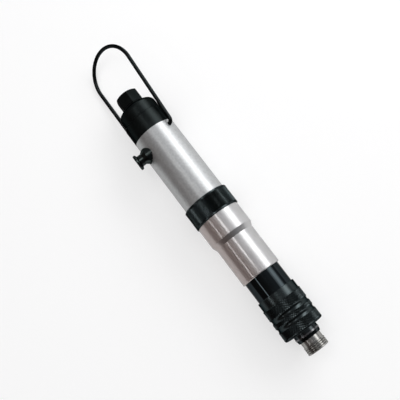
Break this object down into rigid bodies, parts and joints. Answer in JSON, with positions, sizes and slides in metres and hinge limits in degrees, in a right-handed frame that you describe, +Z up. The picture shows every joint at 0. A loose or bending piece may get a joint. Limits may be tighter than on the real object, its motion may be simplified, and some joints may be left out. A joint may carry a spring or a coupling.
{
  "type": "pneumatic screwdriver",
  "caption": "Straight push-to-start air screwdriver with a wire hanging bail, hex air inlet, reverse button, planetary gear, torque clutch with knurled collar and quick-change bit sleeve.",
  "frame": {"origin": "centre of the bit holder's mouth, on the tool's axis", "axes": "+X along the tool's axis, out of the nose; +Z up, with the tool lying on its coupling ring and on one leg of the bail"},
  "size_m": [0.2842, 0.0459, 0.037],
  "materials": {
    "black_anodised": "satin",
    "black_wire": "satin",
    "black_knurled": "knurled, blackened",
    "black_gloss": "gloss black",
    "black_nose": "blackened",
    "nose_ring_steel": "bright edge",
    "button_black": "gloss anodised",
    "silver_barrel": "satin",
    "silver_clutch": "polished",
    "chrome_sleeve": "bright",
    "tool_steel": "ground",
    "gear_steel": "hardened",
    "bearing_steel": "polished",
    "spring_steel": "drawn wire",
    "cast_aluminium": "machined",
    "cast_iron": "honed",
    "brass": "turned",
    "rubber": "matte",
    "vane_composite": "matte"
  },
  "bodies": {
    "housing": {"inlet_bushing": "black_anodised", "inlet_strainer": "brass", "rear_head": "black_anodised", "head_o_ring": "rubber", "throttle_seat": "brass", "throttle_spring": "spring_steel", "motor_housing": "silver_barrel", "valve_block": "cast_aluminium", "reverse_bushing": "button_black", "reverse_spring": "spring_steel", "rear_end_plate": "cast_iron", "rear_bearing_outer": "bearing_steel", "cylinder_liner": "cast_iron", "front_end_plate": "cast_iron", "front_bearing_outer": "bearing_steel", "motor_dowel": "tool_steel", "coupling_ring": "black_knurled", "ring_gear": "gear_steel", "carrier_bearing_outer": "bearing_steel", "clutch_housing": "silver_clutch", "thrust_bearing": "bearing_steel", "clutch_spring": "spring_steel", "adjust_tube": "black_gloss", "nose_bush": "black_nose", "spindle_bush": "brass", "nose_ring": "nose_ring_steel"},
    "bail": {"bail_hanger": "black_wire"},
    "throttle_rod": {"push_rod": "tool_steel", "throttle_valve": "rubber"},
    "reverse_valve": {"reverse_button": "button_black", "reverse_spool": "tool_steel", "reverse_clip": "spring_steel", "spool_o_rings": "rubber"},
    "motor_shaft": {"rotor": "tool_steel", "rotor_vanes": "vane_composite", "rear_bearing_inner": "bearing_steel", "front_bearing_inner": "bearing_steel", "sun_pinion": "gear_steel"},
    "gear_output": {"planet_pins": "tool_steel", "planet_carrier": "tool_steel", "carrier_bearing_inner": "bearing_steel", "clutch_driver": "tool_steel", "clutch_balls": "bearing_steel", "clutch_plate": "tool_steel"},
    "planet_1": {"planet_gear_1": "gear_steel"},
    "planet_2": {"planet_gear_2": "gear_steel"},
    "planet_3": {"planet_gear_3": "gear_steel"},
    "spindle": {"output_spindle": "tool_steel", "bit_balls": "bearing_steel", "sleeve_snap_ring": "spring_steel", "sleeve_spring": "spring_steel"},
    "sleeve": {"bit_sleeve": "chrome_sleeve"},
    "torque_seat": {"spring_seat": "tool_steel", "seat_pins": "tool_steel"},
    "torque_ring": {"torque_collar": "black_knurled"}
  },
  "joints": [
    {"name": "bail_swing", "type": "hinge", "parent": "housing", "child": "bail", "pos_m": [-0.1964, 0, 0], "axis": [0, 0.7859, 0.6184], "range_deg": [-150, 155]},
    {"name": "reverse_press", "type": "slide", "parent": "housing", "child": "reverse_valve", "axis": [0, 0.9995, -0.0314], "range_m": [0, 0.0028], "stiffness_N_per_m": 1200, "springref_m": -0.002, "deforming": ["reverse_spring"]},
    {"name": "rotor_spin", "type": "hinge", "parent": "housing", "child": "motor_shaft", "pos_m": [-0.15, 0, 0], "axis": [1, 0, 0], "continuous": true},
    {"name": "carrier_spin", "type": "hinge", "parent": "housing", "child": "gear_output", "pos_m": [-0.106, 0, 0], "axis": [1, 0, 0], "continuous": true},
    {"name": "push_start", "type": "slide", "parent": "gear_output", "child": "spindle", "axis": [-1, 0, 0], "range_m": [0, 0.003], "stiffness_N_per_m": 2000, "springref_m": -0.002, "deforming": ["throttle_spring"]},
    {"name": "rod_lift", "type": "slide", "parent": "housing", "child": "throttle_rod", "axis": [-1, 0, 0], "range_m": [0, 0.003]},
    {"name": "sleeve_pull", "type": "slide", "parent": "spindle", "child": "sleeve", "axis": [1, 0, 0], "range_m": [0, 0.0035], "stiffness_N_per_m": 1500, "springref_m": -0.002, "deforming": ["sleeve_spring"]},
    {"name": "adjust_travel", "type": "slide", "parent": "housing", "child": "torque_seat", "axis": [-1, 0, 0], "range_m": [-0.002, 0.008], "deforming": ["clutch_spring"]},
    {"name": "collar_turn", "type": "hinge", "parent": "torque_seat", "child": "torque_ring", "pos_m": [-0.038, 0, 0], "axis": [-1, 0, 0], "range_deg": [-361, 1441]},
    {"name": "planet_1_spin", "type": "hinge", "parent": "gear_output", "child": "planet_1", "pos_m": [-0.112, 0, 0.00743], "axis": [1, 0, 0], "continuous": true},
    {"name": "planet_2_spin", "type": "hinge", "parent": "gear_output", "child": "planet_2", "pos_m": [-0.112, 0.00644, -0.00372], "axis": [1, 0, 0], "continuous": true},
    {"name": "planet_3_spin", "type": "hinge", "parent": "gear_output", "child": "planet_3", "pos_m": [-0.112, -0.00644, -0.00372], "axis": [1, 0, 0], "continuous": true}
  ],
  "couplings": [
    {"joint": "carrier_spin", "follows": "rotor_spin", "ratio": 0.22222},
    {"joint": "rod_lift", "follows": "push_start", "ratio": 1},
    {"joint": "collar_turn", "follows": "adjust_travel", "rad_per_m": 3141.6},
    {"joint": "planet_1_spin", "follows": "rotor_spin", "ratio": -0.62222},
    {"joint": "planet_2_spin", "follows": "rotor_spin", "ratio": -0.62222},
    {"joint": "planet_3_spin", "follows": "rotor_spin", "ratio": -0.62222}
  ]
}
